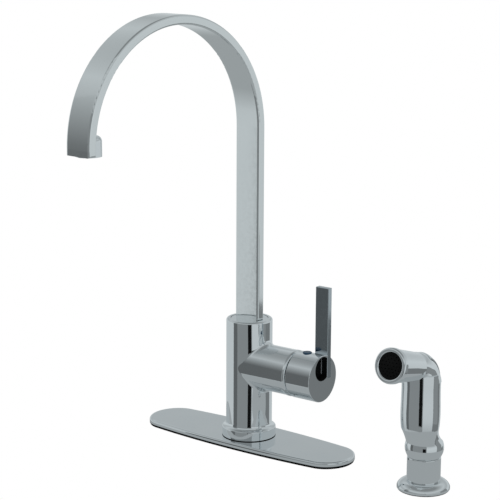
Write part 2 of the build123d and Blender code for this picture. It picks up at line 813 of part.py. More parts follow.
with BuildPart() as spray_holder:
    with BuildSketch(holder_plane):
        with BuildLine():
            foot = holder_gasket_thickness
            edge = Vector(flange_radius, foot + flange_edge)
            crown = Vector(flange_neck, flange_height)
            bulge = (edge + crown) * 0.5 + Vector(flange_bulge, flange_bulge)
            Polyline((holder_shank_bore, -holder_shank_length), (holder_shank_radius, -holder_shank_length),
                     (holder_shank_radius, foot), (flange_radius, foot), edge)
            ThreePointArc(edge, bulge, crown)
            Polyline(crown, (holder_collar_radius, flange_height), (holder_collar_radius, holder_collar_top),
                     (holder_bore, holder_collar_top), (holder_bore, liner_foot),
                     (holder_shank_bore, liner_foot), (holder_shank_bore, -holder_shank_length))
        make_face()
    revolve(axis=holder_axis)
    fillet(spray_holder.edges().group_by(Axis.Z)[-1].sort_by(SortBy.RADIUS)[-1],
           radius=holder_edge_round)
finish(spray_holder, "spray_holder")

with BuildPart() as holder_liner:
    disc(sprayer_level(liner_foot), holder_bore - seat_gap, liner_height, holder_bore - liner_wall)
finish(holder_liner, "holder_liner")

with BuildPart() as holder_washer:
    disc(sprayer_level(-deck_space - washer_thickness), holder_washer_radius, washer_thickness,
         holder_shank_radius + washer_gap)
finish(holder_washer, "holder_washer")

holder_nut = hex_nut(sprayer_level(-deck_space - washer_thickness), holder_nut_flats,
                     holder_nut_height, holder_washer_radius - nut_flange_step,
                     holder_shank_radius + thread_gap)
finish(holder_nut, "holder_nut")

# ================================ sprayer =======================================================
sprayer_side = Plane(origin=(sprayer_x, 0, 0), x_dir=(0, 1, 0), z_dir=(1, 0, 0))
elbow_y = sprayer_y + body_offset - elbow_radius
shell_foot = bulb_profile[0][1]
turn = radians(elbow_turn)
head_direction = Vector(0, -sin(turn), cos(turn))
elbow_exit = Vector(sprayer_x, elbow_y + elbow_radius * cos(turn), elbow_start + elbow_radius * sin(turn))


def elbow_point(angle, radius):
    """Y and Z of a point at an angle round the elbow and a radius from its centre."""
    return (elbow_y + radius * cos(radians(angle)), elbow_start + radius * sin(radians(angle)))


def elbow_section(angle, inset):
    """A section of the elbow at an angle from its start, flatter on its inner side."""
    radius = body_radius + (elbow_end_radius - body_radius) * angle / elbow_turn - inset
    inner = min(radius, elbow_throat - inset)
    y, z = elbow_point(angle, elbow_radius + (radius - inner) / 2)
    along = (0, -sin(radians(angle)), cos(radians(angle)))
    with BuildSketch(Plane(origin=(sprayer_x, y, z), x_dir=(1, 0, 0), z_dir=along)) as section:
        Ellipse(radius, (radius + inner) / 2)
    return section.sketch


def head_level(distance):
    """A plane across the head at a distance from the elbow's end."""
    origin = elbow_exit + head_direction * distance
    return Plane(origin=origin, x_dir=(1, 0, 0), z_dir=head_direction)


def turned_form(y, profile, inset, rise):
    """A round piece of the sprayer about an upright axis at y from the holder's."""
    points = [(radius - inset, height) for radius, height in profile]
    points[0] = (points[0][0], points[0][1] + rise)
    plane = Plane(origin=(sprayer_x, sprayer_y + y, 0), x_dir=(1, 0, 0), z_dir=(0, -1, 0))
    with BuildPart() as form:
        with BuildSketch(plane):
            with BuildLine():
                Spline(points)
                Polyline(points[-1], (0, points[-1][1]), (0, points[0][1]), points[0])
            make_face()
        revolve(axis=Axis(plane.origin, (0, 0, 1)))
    return form.part


def elbow_sections(inset):
    """The elbow's sections from the body to the head."""
    return [elbow_section(elbow_turn * step / elbow_steps, inset) for step in range(elbow_steps + 1)]


def sprayer_form(inset):
    """The sprayer's form, drawn in by the inset all round except at the head's open end."""
    neck = [round_face(sprayer_level(height, y), radius - inset) for height, y, radius in neck_sections]
    elbow = elbow_sections(inset)
    mouth = round_face(head_level(head_length - face_ring_length), head_radius - inset)
    with BuildPart() as form:
        add(turned_form(0, bulb_profile, inset, inset))
        loft(neck)
        add(turned_form(body_offset, body_profile, inset, 0))
        with BuildSketch(sprayer_level(elbow_start, body_offset)):
            Circle(body_radius - inset)
            with Locations((0, body_radius)):
                Rectangle(4 * body_radius, 2 * body_radius, mode=Mode.SUBTRACT)
        extrude(amount=throat_rise)
        loft(elbow)
        loft([elbow[-1], mouth])
    return form.part


def crown_point(angle, depth):
    """Y and Z of a point at a depth under the crown of the elbow's back."""
    taper = (body_radius - elbow_end_radius) * angle / elbow_turn
    return elbow_point(angle, elbow_radius + body_radius - taper - depth)


pivot_y, pivot_z = elbow_point(pivot_angle, pivot_radius)
trigger_axis = Axis((sprayer_x, pivot_y, pivot_z), (1, 0, 0))
outer_form = sprayer_form(0)
inner_form = sprayer_form(shell_wall)


def pivot_disc(radius, start, end, mode=Mode.ADD):
    """A disc round the trigger's pin on each side of the middle."""
    for side in (1, -1):
        plane = Plane(origin=(sprayer_x + side * start, pivot_y, pivot_z), x_dir=(0, 1, 0),
                      z_dir=(side, 0, 0))
        disc(plane, radius, end - start, mode=mode)


with BuildPart() as pin_bosses:
    pivot_disc(boss_radius, boss_inner, body_radius)
    add(outer_form, mode=Mode.INTERSECT)

with BuildPart() as trigger_window:
    with BuildSketch(sprayer_side):
        with BuildLine():
            reach = trigger_reach + degrees(window_gap / (elbow_radius + body_radius))
            sill = elbow_start - trigger_drop - window_drop
            inside = elbow_point(reach, elbow_radius)
            outside = elbow_point(reach, 2 * (elbow_radius + body_radius))
            back = elbow_y + 2 * (elbow_radius + body_radius)
            Polyline(inside, outside, (back, outside[1]), (back, sill),
                     (elbow_y + elbow_radius, sill), inside)
        make_face()
    extrude(amount=trigger_half_width + window_gap, both=True)

with BuildPart() as sprayer_shell:
    add(outer_form)
    add(inner_form, mode=Mode.SUBTRACT)
    disc(sprayer_level(shell_foot), spigot_radius + seat_gap, 2 * shell_wall, mode=Mode.SUBTRACT)
    add(trigger_window.part, mode=Mode.SUBTRACT)
    add(pin_bosses.part)
    pivot_disc(trigger_pin_radius, 0, trigger_pin_half, mode=Mode.SUBTRACT)
finish(sprayer_shell, "sprayer_shell")

ring_start = head_length - face_ring_length
with BuildPart() as face_ring:
    disc(head_level(ring_start), face_ring_radius, face_ring_length, face_ring_bore)
    fillet(face_ring.edges().group_by(Axis(head_level(0).origin, head_direction))[-1],
           radius=face_ring_round)
finish(face_ring, "face_ring")

with BuildPart() as spray_face:
    face_level = head_level(head_length - face_recess - face_thickness)
    disc(face_level, face_ring_bore, face_thickness)
    with BuildSketch(face_level):
        for circle, count in zip(jet_circles, jet_counts):
            with PolarLocations(circle, count):
                Circle(jet_radius)
    extrude(amount=face_thickness, mode=Mode.SUBTRACT)
finish(spray_face, "spray_face")

connector_room = connector_lip + connector_play + connector_head_height + connector_washer_height
with BuildPart() as spray_spigot:
    disc(sprayer_level(spigot_foot), spigot_radius, shell_foot + shell_wall - spigot_foot)
    disc(sprayer_level(shell_foot + shell_wall), spigot_flange_radius, spigot_flange_height)
    disc(sprayer_level(shell_foot), riser_tube_radius, valve_foot - shell_foot)
    disc(sprayer_level(spigot_foot), connector_neck_radius + running_gap, connector_lip,
         mode=Mode.SUBTRACT)
    disc(sprayer_level(spigot_foot + connector_lip), connector_head_radius + running_gap,
         connector_room - connector_lip, mode=Mode.SUBTRACT)
    disc(sprayer_level(spigot_foot), riser_tube_bore, valve_foot - spigot_foot, mode=Mode.SUBTRACT)
finish(spray_spigot, "spray_spigot")

head_foot = spigot_foot + connector_lip + connector_play
with BuildPart() as connector_washer:
    disc(sprayer_level(head_foot + connector_head_height), connector_head_radius,
         connector_washer_height, riser_tube_bore)
finish(connector_washer, "connector_washer")

with BuildPart() as hose_connector:
    with BuildSketch(sprayer_level(connector_foot)):
        RegularPolygon(radius=connector_flats / 2, side_count=6, major_radius=False)
    extrude(amount=connector_height)
    disc(sprayer_level(connector_foot), connector_neck_radius, head_foot - connector_foot)
    disc(sprayer_level(head_foot), connector_head_radius, connector_head_height)
    disc(sprayer_level(connector_foot), connector_thread, connector_thread_depth, mode=Mode.SUBTRACT)
    disc(sprayer_level(connector_foot), connector_bore, spigot_foot + connector_room - connector_foot,
         mode=Mode.SUBTRACT)
finish(hose_connector, "hose_connector")

# ================================ valve and trigger =============================================


def plunger_level(reach):
    """A plane across the plunger at a distance behind the body's axis, facing outwards."""
    origin = (sprayer_x, sprayer_y + body_offset + reach, plunger_height)
    return Plane(origin=origin, x_dir=(-1, 0, 0), z_dir=(0, 1, 0))


spring_floor = valve_radius - spring_bore_depth
head_back = plunger_reach - plunger_head_length

with BuildPart() as valve_body:
    disc(sprayer_level(valve_foot, body_offset), valve_radius, valve_height)
    disc(sprayer_level(valve_foot, body_offset + valve_inlet_offset), valve_inlet_radius,
         valve_inlet_height, mode=Mode.SUBTRACT)
    disc(plunger_level(spring_floor), spring_bore, valve_radius, mode=Mode.SUBTRACT)
    disc(plunger_level(spring_floor - plunger_guide), plunger_radius + running_gap, plunger_guide,
         mode=Mode.SUBTRACT)
finish(valve_body, "valve_body")

with BuildPart() as valve_plunger:
    disc(plunger_level(-plunger_tail), plunger_radius, plunger_reach + plunger_tail)
    disc(plunger_level(head_back), plunger_head_radius, plunger_head_length)
    fillet(valve_plunger.edges().group_by(Axis.Y)[-1], radius=plunger_head_length / 2)
finish(valve_plunger, "valve_plunger")

with BuildPart() as valve_spring:
    coil_plane = plunger_level(spring_floor + spring_wire)
    coil_length = head_back - spring_floor - 2 * spring_wire
    with BuildLine() as coil:
        Helix(coil_length / spring_turns, coil_length, spring_radius, center=coil_plane.origin,
              direction=coil_plane.z_dir)
    with BuildSketch(Plane(origin=coil.line @ 0, z_dir=coil.line % 0)):
        Circle(spring_wire)
    sweep(path=coil.line, is_frenet=True)
finish(valve_spring, "valve_spring")

with BuildPart() as trigger_pin:
    pivot_disc(trigger_pin_radius, 0, trigger_pin_half)
finish(trigger_pin, "trigger_pin")

with BuildPart() as trigger_skin:
    loft(elbow_sections(-trigger_proud))
    extrude(elbow_section(0, -trigger_proud), amount=-2 * trigger_drop)

with BuildPart() as trigger:
    with BuildSketch(sprayer_side):
        with BuildLine():
            under = trigger_depth - trigger_proud
            bend = crown_point(0, under)
            end = crown_point(trigger_reach, under)
            beyond = crown_point(trigger_reach, -under)
            thumb = elbow_start - trigger_drop
            back = bend[0] + 2 * trigger_depth
            ThreePointArc(end, crown_point(trigger_reach / 2, under), bend)
            Polyline(bend, (bend[0], thumb), (back, thumb), (back, beyond[1]), beyond, end)
        make_face()
    extrude(amount=trigger_half_width, both=True)
    add(trigger_skin.part, mode=Mode.INTERSECT)
    # Two ears hold the plate on its pin.
    for side in (ear_inner, -ear_outer):
        with BuildSketch(sprayer_side.offset(side)):
            with BuildLine():
                low_root = crown_point(pivot_angle - ear_spread, ear_root)
                high_root = crown_point(pivot_angle + ear_spread / 2, ear_root)
                Polyline((pivot_y, pivot_z - ear_radius), low_root, high_root,
                         (pivot_y - ear_radius, pivot_z), (pivot_y, pivot_z - ear_radius))
            make_face()
        extrude(amount=ear_outer - ear_inner)
    pivot_disc(ear_radius, ear_inner, ear_outer)
    pivot_disc(trigger_pin_radius + running_gap, ear_inner, ear_outer, mode=Mode.SUBTRACT)
trigger.part = trigger.part.rotate(trigger_axis, trigger_stand)
finish(trigger, "trigger")
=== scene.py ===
import json
from math import cos, hypot, pi, radians, sin

import bmesh
import bpy
from mathutils import Matrix, Vector


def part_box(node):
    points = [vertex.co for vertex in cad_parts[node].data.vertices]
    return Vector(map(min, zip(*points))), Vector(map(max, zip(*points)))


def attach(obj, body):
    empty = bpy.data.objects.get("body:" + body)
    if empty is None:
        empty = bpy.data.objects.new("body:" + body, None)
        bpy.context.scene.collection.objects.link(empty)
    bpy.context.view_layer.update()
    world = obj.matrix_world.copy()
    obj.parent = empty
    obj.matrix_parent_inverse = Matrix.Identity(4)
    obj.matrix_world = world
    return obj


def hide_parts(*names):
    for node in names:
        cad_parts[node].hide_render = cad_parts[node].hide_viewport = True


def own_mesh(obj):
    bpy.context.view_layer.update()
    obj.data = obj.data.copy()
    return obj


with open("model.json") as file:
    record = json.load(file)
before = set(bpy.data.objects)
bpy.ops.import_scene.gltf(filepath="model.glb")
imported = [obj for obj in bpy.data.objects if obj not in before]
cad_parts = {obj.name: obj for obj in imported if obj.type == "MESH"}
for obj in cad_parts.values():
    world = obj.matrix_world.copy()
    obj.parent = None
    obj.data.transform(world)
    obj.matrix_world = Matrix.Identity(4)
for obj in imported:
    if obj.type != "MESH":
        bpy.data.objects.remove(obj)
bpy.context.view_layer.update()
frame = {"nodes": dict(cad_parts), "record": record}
nodes = frame["nodes"]

# ---- materials ---------------------------------------------------------------------------------
# Noise scales are the number of features in a metre.
CLOUD_SCALE = 34.0                # metal: faint clouding
SMEAR_SCALE = 85.0                # metal: wiping marks, drawn out along Z
SMEAR_STRETCH = (1.0, 1.0, 0.35)
MARK_SHARE = 0.18                 # how far the fine marks change a metal's roughness
MARK_HEIGHT = 0.00002
METAL_EDGE = (0.52, 0.62)         # pointiness from which wear starts and at which it is full
SURFACE_CLOUD_SCALE = 48.0        # other surfaces
SURFACE_GLOSS_SCALE = 120.0
SURFACE_GLOSS = 0.15              # how far their roughness wanders, as a share
SURFACE_GRAIN_HEIGHT = 0.00004
SURFACE_EDGE = (0.52, 0.6)
SURFACE_EDGE_ROUGHNESS = -0.12    # their edges are rubbed smoother
PATCH_SCALE = 260.0               # the patches that break up the wear
PATCH_SPAN = (0.4, 0.6)
# Painted shade at a part's foot: the near-black colour it darkens to, and the height over which it fades
# in.
PAINTED_SHADE_COLOUR = (0.004, 0.004, 0.004)
PAINTED_SHADE_FADE = 0.0003
MIX_INPUTS = (6, 7)               # colour sockets of a Mix node
MIX_OUTPUT = 2


class Shader:
    """A small helper that builds one node material."""

    def __init__(self, name):
        self.material = bpy.data.materials.new(name)
        self.material.use_nodes = True
        self.tree = self.material.node_tree
        self.principled = self.tree.nodes["Principled BSDF"]
        coordinates = self.tree.nodes.new("ShaderNodeTexCoord")
        self.place = coordinates.outputs["Object"]

    def node(self, kind, **settings):
        """A node with its sockets and properties set by name."""
        made = self.tree.nodes.new(kind)
        for key, value in settings.items():
            socket = made.inputs.get(key.replace("_", " "))
            if socket is not None:
                socket.default_value = value
            else:
                setattr(made, key, value)
        return made

    def link(self, output, target):
        self.tree.links.new(output, target)

    def noise(self, scale, detail=3.0, stretch=(1, 1, 1), rough=0.5):
        """Noise in metres: scale is the number of features in a metre."""
        mapping = self.node("ShaderNodeMapping", Scale=stretch)
        self.link(self.place, mapping.inputs["Vector"])
        noise = self.node("ShaderNodeTexNoise", Scale=scale, Detail=detail, Roughness=rough)
        self.link(mapping.outputs["Vector"], noise.inputs["Vector"])
        return noise.outputs["Fac"]

    def spread(self, value, low, high, start=0.3, end=0.7):
        """Maps the middle of a noise to the range from low to high."""
        ranged = self.node("ShaderNodeMapRange", From_Min=start, From_Max=end, To_Min=low, To_Max=high)
        self.link(value, ranged.inputs["Value"])
        return ranged.outputs["Result"]

    def mixed(self, factor, first, second):
        """A mix of two colours by a factor."""
        mix = self.tree.nodes.new("ShaderNodeMix")
        mix.data_type = "RGBA"
        self.link(factor, mix.inputs["Factor"])
        for index, colour in zip(MIX_INPUTS, (first, second)):
            if isinstance(colour, tuple):
                mix.inputs[index].default_value = (*colour, 1.0)
            else:
                self.link(colour, mix.inputs[index])
        return mix.outputs[MIX_OUTPUT]

    def math(self, operation, first, second):
        """One sum of two values, each a number or a socket."""
        made = self.tree.nodes.new("ShaderNodeMath")
        made.operation = operation
        for socket, value in zip(made.inputs, (first, second)):
            if isinstance(value, (int, float)):
                socket.default_value = value
            else:
                self.link(value, socket)
        return made.outputs["Value"]

    def bump(self, height, strength, distance):
        """Relief from a height, with a depth in metres."""
        made = self.node("ShaderNodeBump", Strength=strength, Distance=distance)
        self.link(height, made.inputs["Height"])
        self.link(made.outputs["Normal"], self.principled.inputs["Normal"])

    def set(self, name, value):
        """An even value on the shader's own socket."""
        self.principled.inputs[name].default_value = value

    def feed(self, name, output):
        """A varying value into the shader's own socket."""
        self.link(output, self.principled.inputs[name])


def worn_edges(shader, span):
    """A mask that is strong along convex edges, broken up by noise."""
    geometry = shader.tree.nodes.new("ShaderNodeNewGeometry")
    edge = shader.spread(geometry.outputs["Pointiness"], 0.0, 1.0, *span)
    patches = shader.spread(shader.noise(PATCH_SCALE, 4.0), 0.0, 1.0, *PATCH_SPAN)
    return shader.math("MULTIPLY", edge, patches)


def polished_metal(name, colour, shade, roughness, grain=(1, 1, 1), grain_scale=900.0, grain_depth=0.04,
                   smear=0.28, painted_shade_top=None):
    """Plated or bare metal: clouding, wiping marks, duller edges and, if asked for, painted shade
    darkening its foot.
    """
    shader = Shader(name)
    shader.set("Metallic", 1.0)
    cloud = shader.spread(shader.noise(CLOUD_SCALE, 3.0), 0.0, 1.0)
    plating = shader.mixed(cloud, colour, shade)
    # Painted shade: below the given height the colour goes to near-black, standing in for the contact
    # shadow at the foot.
    if painted_shade_top is not None:
        height = shader.node("ShaderNodeSeparateXYZ")
        shader.link(shader.place, height.inputs[0])
        painted_shade_mask = shader.spread(height.outputs["Z"], 1.0, 0.0, painted_shade_top - PAINTED_SHADE_FADE, painted_shade_top)
        plating = shader.mixed(painted_shade_mask, plating, PAINTED_SHADE_COLOUR)
    shader.feed("Base Color", plating)
    smears = shader.noise(SMEAR_SCALE, 5.0, SMEAR_STRETCH, 0.6)
    marks = shader.noise(grain_scale, 2.0, grain)
    low = shader.spread(smears, roughness * (1 - smear), roughness * (1 + smear))
    fine = shader.spread(marks, -roughness * MARK_SHARE, roughness * MARK_SHARE)
    edges = shader.math("MULTIPLY", worn_edges(shader, METAL_EDGE), roughness)
    shader.feed("Roughness", shader.math("ADD", shader.math("ADD", low, fine), edges))
    shader.bump(marks, grain_depth, MARK_HEIGHT)
    return shader.material


def plain_surface(name, colour, shade, roughness, grain_scale, grain_depth, specular=0.5):
    """Moulded, enamelled or ground surfaces with a fine grain and uneven gloss."""
    shader = Shader(name)
    shader.set("Specular IOR Level", specular)
    cloud = shader.spread(shader.noise(SURFACE_CLOUD_SCALE, 4.0), 0.0, 1.0)
    shader.feed("Base Color", shader.mixed(cloud, colour, shade))
    grain = shader.noise(grain_scale, 3.0)
    gloss = shader.spread(shader.noise(SURFACE_GLOSS_SCALE, 4.0), roughness * (1 - SURFACE_GLOSS),
                          roughness * (1 + SURFACE_GLOSS))
    edges = shader.math("MULTIPLY", worn_edges(shader, SURFACE_EDGE), SURFACE_EDGE_ROUGHNESS)
    shader.feed("Roughness", shader.math("ADD", gloss, edges))
    shader.bump(grain, grain_depth, SURFACE_GRAIN_HEIGHT)
    return shader.material


# Each line gives a colour, its shade in the clouds and a roughness.
CHROME = (0.87, 0.895, 0.905)
CHROME_SHADE = (0.845, 0.875, 0.89)
CHROME_ROUGHNESS = 0.045
# The plate's side is darkened by painted shade up to this height, standing in for the contact shadow
# under it.
PLATE_PAINTED_SHADE_TOP = 0.0025    # how far up the plate's side is dark
chrome = polished_metal("polished_chrome", CHROME, CHROME_SHADE, CHROME_ROUGHNESS)
plate_chrome_painted_shade = polished_metal("painted_shade_foot_chrome", CHROME, CHROME_SHADE, CHROME_ROUGHNESS,
                              painted_shade_top=PLATE_PAINTED_SHADE_TOP)
satin = polished_metal("satin_chrome", (0.87, 0.895, 0.897), (0.862, 0.888, 0.89), 0.065,
                       grain=(1.0, 1.0, 0.06), grain_scale=1500.0, grain_depth=0.02, smear=0.1)
brushed = polished_metal("brushed_chrome", (0.55, 0.60, 0.63), (0.52, 0.57, 0.60), 0.07,
                         grain=(1.0, 1.0, 0.02), grain_scale=1300.0, grain_depth=0.03, smear=0.12)
brass = polished_metal("turned_brass", (0.72, 0.54, 0.26), (0.62, 0.44, 0.19), 0.26,
                       grain=(0.1, 0.1, 1.0), grain_scale=2200.0, grain_depth=0.2)
steel = polished_metal("brushed_steel", (0.56, 0.57, 0.58), (0.48, 0.49, 0.50), 0.3,
                       grain=(1.0, 0.1, 1.0), grain_scale=1800.0, grain_depth=0.2)
rubber = plain_surface("black_rubber", (0.018, 0.018, 0.019), (0.03, 0.03, 0.031), 0.62,
                       grain_scale=1700.0, grain_depth=0.35)
black_plastic = plain_surface("black_plastic", (0.012, 0.012, 0.013), (0.022, 0.022, 0.024), 0.38,
                              grain_scale=1300.0, grain_depth=0.25)
deep_black = plain_surface("matt_black_plastic", (0.002, 0.002, 0.002), (0.004, 0.004, 0.004), 0.6,
                           grain_scale=1500.0, grain_depth=0.3, specular=0.08)
white_plastic = plain_surface("white_plastic", (0.80, 0.80, 0.77), (0.73, 0.73, 0.70), 0.42,
                              grain_scale=1300.0, grain_depth=0.2)
grey_plastic = plain_surface("grey_plastic", (0.24, 0.25, 0.26), (0.19, 0.20, 0.21), 0.45,
                             grain_scale=1300.0, grain_depth=0.25)
ceramic = plain_surface("ground_ceramic", (0.86, 0.85, 0.80), (0.80, 0.79, 0.75), 0.22,
                        grain_scale=2600.0, grain_depth=0.08)
blue_enamel = plain_surface("blue_enamel", (0.012, 0.042, 0.080), (0.009, 0.034, 0.066), 0.3,
                            grain_scale=900.0, grain_depth=0.08)

slot_materials = {
    "chrome": chrome,
    "brass": brass,
    "steel": steel,
    "rubber": rubber,
    "black_plastic": black_plastic,
    "white_plastic": white_plastic,
    "grey_plastic": grey_plastic,
    "ceramic": ceramic,
    "index_blue": blue_enamel,
}
node_materials = {
    "spout_tube": satin,
    "handle_lever": brushed,
    "handle_plug": deep_black,
    "spray_face": deep_black,
    "deck_gasket": deep_black,
    "deck_plate": plate_chrome_painted_shade,
}


def dress(thing, material):
    """Gives an object one material."""
    thing.data.materials.clear()
    thing.data.materials.append(material)


def make_object(name, points, faces, smooth=True):
    """A mesh object from points and faces."""
    mesh = bpy.data.meshes.new(name)
    mesh.from_pydata([tuple(point) for point in points], [], faces)
    mesh.update()
    made = bpy.data.objects.new(name, mesh)
    bpy.context.scene.collection.objects.link(made)
    if smooth:
        mesh.shade_smooth()
    return made


for part in frame["record"]["subparts"]:
    name = part["node"]
    dress(nodes[name], node_materials.get(name, slot_materials[part["material_slot"]]))

# ---- threaded shanks ---------------------------------------------------------------------------
THREAD_PITCH = 0.0015
THREAD_DEPTH = 0.0008
THREAD_STEPS = 56         # round the rod
THREAD_ROWS = 7           # along one turn of the thread
THREAD_TOP = -0.0005      # the thread ends just under the counter's surface
THREAD_RUN_OUT = 0.002    # over which it fades at both ends
THREAD_CREASE = 35.0      # degrees from which an edge stays sharp
WALL_TOLERANCE = 0.00003  # a point this near to the rod's radius is on its wall
HOLDER_SHANK_RADIUS = 0.0139


def thread_wall(axis, radius, low, high, plain_top):
    """Points and faces of a rod's outer wall: a helical thread below, and plain above it."""
    rows = round((high - low) / THREAD_PITCH * THREAD_ROWS)
    levels = [low + (high - low) * row / rows for row in range(rows + 1)] + [plain_top]
    points = []
    for level in levels:
        fade = max(0.0, min(1.0, (level - low) / THREAD_RUN_OUT, (high - level) / THREAD_RUN_OUT))
        for step in range(THREAD_STEPS):
            share = step / THREAD_STEPS
            wave = 0.5 - 0.5 * cos(2 * pi * (level / THREAD_PITCH - share))
            reach = radius - THREAD_DEPTH * fade * wave
            points.append((axis[0] + reach * cos(2 * pi * share), axis[1] + reach * sin(2 * pi * share),
                           level))
    faces = []
    for row in range(len(levels) - 1):
        for step in range(THREAD_STEPS):
            after = (step + 1) % THREAD_STEPS
            low_row, high_row = row * THREAD_STEPS, (row + 1) * THREAD_STEPS
            faces.append((low_row + step, low_row + after, high_row + after, high_row + step))
    return points, faces


def threaded(node, radius, slot):
    """A copy of a node whose plain outer wall of the given radius is cut with a real thread."""
    corner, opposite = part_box(node)
    axis = ((corner[0] + opposite[0]) / 2, (corner[1] + opposite[1]) / 2)
    mesh = nodes[node].data.copy()
    mesh.name = node + "_threaded"
    shape = bmesh.new()
    shape.from_mesh(mesh)

    def on_wall(vertex):
        return abs(hypot(vertex.co.x - axis[0], vertex.co.y - axis[1]) - radius) < WALL_TOLERANCE

    wall = [face for face in shape.faces if all(on_wall(vertex) for vertex in face.verts)]
    levels = [vertex.co.z for face in wall for vertex in face.verts]
    low, top = min(levels), max(levels)
    bmesh.ops.delete(shape, geom=wall, context="FACES")
    points, faces = thread_wall(axis, radius, low, THREAD_TOP, top)
    made = [shape.verts.new(point) for point in points]
    for face in faces:
        shape.faces.new([made[index] for index in face])
    shape.to_mesh(mesh)
    shape.free()
    mesh.shade_smooth()
    mesh.set_sharp_from_angle(angle=radians(THREAD_CREASE))
    rod = bpy.data.objects.new(node + "_threaded", mesh)
    bpy.context.scene.collection.objects.link(rod)
    dress(rod, slot_materials[slot])
    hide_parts(node)
    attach(rod, "faucet")


shank_low, shank_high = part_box("mounting_shank")
threaded("mounting_shank", (shank_high[0] - shank_low[0]) / 2, "brass")
threaded("spray_holder", HOLDER_SHANK_RADIUS, "chrome")

# ---- painted highlight: a light bead in the handle's pocket ------------------------------------
BEAD_PLACE = (0.08118, 0.00752)       # along the corner between the plug's floor and the lever
BEAD_SPAN = (0.0806, 0.0976)
BEAD_RADIUS = 0.00028
BEAD_SIDES = 10
BEAD_ROWS = 24
BEAD_SWELL = 0.12                     # how much its thickness wanders, as a share
BEAD_WAVES = (9.0, 4.0)               # half waves of that along its length
BEAD_TIP = 0.25                       # its ends narrow to this share
BEAD_TAPER = 8.0                      # how quickly it reaches its full width


def highlight_bead():
    """A thin upright light bead whose thickness wanders a little, with rounded ends: a painted highlight
    along the pocket's corner.
    """
    low, high = BEAD_SPAN
    points = []
    for row in range(BEAD_ROWS + 1):
        share = row / BEAD_ROWS
        swell = 1.0 + BEAD_SWELL * sin(BEAD_WAVES[0] * share * pi) * cos(BEAD_WAVES[1] * share * pi)
        reach = BEAD_RADIUS * swell * min(1.0, BEAD_TIP + BEAD_TAPER * min(share, 1.0 - share))
        for side in range(BEAD_SIDES):
            angle = 2 * pi * side / BEAD_SIDES
            points.append((BEAD_PLACE[0] + reach * cos(angle), BEAD_PLACE[1] + reach * sin(angle),
                           low + (high - low) * share))
    foot = range(BEAD_SIDES)
    faces = [tuple(reversed(foot)), tuple(BEAD_ROWS * BEAD_SIDES + side for side in foot)]
    for row in range(BEAD_ROWS):
        for side in range(BEAD_SIDES):
            after = (side + 1) % BEAD_SIDES
            start = row * BEAD_SIDES
            faces.append((start + side, start + after, start + BEAD_SIDES + after,
                          start + BEAD_SIDES + side))
    bead = make_object("plug_highlight_bead", points, faces)
    # Its light grey is a painted highlight, standing in for the thin reflection along the pocket's
    # corner.
    dress(bead, grey_plastic)
    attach(bead, "handle")


highlight_bead()

# ---- seal at the foot of the base ring ---------------------------------------------------------
SEAL_STEPS = 128
SEAL_SIDES = 12
SEAL_HEIGHT = 0.0009
SEAL_DEPTH = 0.0008
SEAL_PROUD = 0.00008      # how far it is squeezed out past the ring


def foot_seal():
    """A soft black ring squeezed between the base ring and the deck plate."""
    low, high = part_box("base_ring")
    centre = ((low[0] + high[0]) / 2, (low[1] + high[1]) / 2)
    middle = (high[0] - low[0]) / 2 + SEAL_PROUD - SEAL_DEPTH / 2
    points, faces = [], []
    for step in range(SEAL_STEPS):
        turn = 2 * pi * step / SEAL_STEPS
        for side in range(SEAL_SIDES):
            angle = 2 * pi * side / SEAL_SIDES
            reach = middle + SEAL_DEPTH / 2 * cos(angle)
            points.append((centre[0] + reach * cos(turn), centre[1] + reach * sin(turn),
                           low[2] + SEAL_HEIGHT / 2 * (1 + sin(angle))))
        for side in range(SEAL_SIDES):
            after = (side + 1) % SEAL_SIDES
            here, there = step * SEAL_SIDES, (step + 1) % SEAL_STEPS * SEAL_SIDES
            faces.append((here + side, there + side, there + after, here + after))
    seal = make_object("foot_seal", points, faces)
    dress(seal, deep_black)
    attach(seal, "faucet")


foot_seal()


def soft_spring():
    """A copy of the spring with a mesh of its own, riding with the sprayer."""
    spring = bpy.data.objects.new("valve_spring_soft", nodes["valve_spring"].data.copy())
    bpy.context.scene.collection.objects.link(spring)
    dress(spring, steel)
    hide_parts("valve_spring")
    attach(spring, "sprayer")
    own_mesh(spring)


soft_spring()

# ---- floor and studio --------------------------------------------------------------------------
FLOOR_LEVEL = -0.0006
FLOOR_RADIUS = 9.0
FLOOR_FLAT = 0.8          # share of the radius that is level
FLOOR_MIDDLE = 0.5        # share at which the level part has one more ring
BACKDROP_TOP = 0.7        # its height as a share of the radius
SWEEP_STEPS = 96
STUDIO_TINT = (0.93, 1.0, 1.025)    # the studio is slightly cool
STUDIO_GLOW = 1.24                 # makes up for what the plating swallows


def glow_material(name, colour, strength):
    """An even light of its own."""
    material = bpy.data.materials.new(name)
    material.use_nodes = True
    tree = material.node_tree
    tree.nodes.clear()
    emission = tree.nodes.new("ShaderNodeEmission")
    emission.inputs["Color"].default_value = (*colour, 1.0)
    emission.inputs["Strength"].default_value = strength
    output = tree.nodes.new("ShaderNodeOutputMaterial")
    tree.links.new(emission.outputs["Emission"], output.inputs["Surface"])
    return material


def tinted(tone):
    """A grey of the studio."""
    return tuple(tone * share for share in STUDIO_TINT)


def fill_ramp(ramp, stops):
    """Sets a colour ramp to tinted greys."""
    elements = ramp.color_ramp.elements
    while len(elements) < len(stops):
        elements.new(0.5)
    for element, (place, tone) in zip(elements, stops):
        element.position = place
        element.color = (*tinted(tone), 1.0)


def only_mirrored(thing):
    """Lets a studio card show in polished surfaces and nowhere else."""
    thing.visible_camera = False
    thing.visible_diffuse = False
    thing.visible_shadow = False


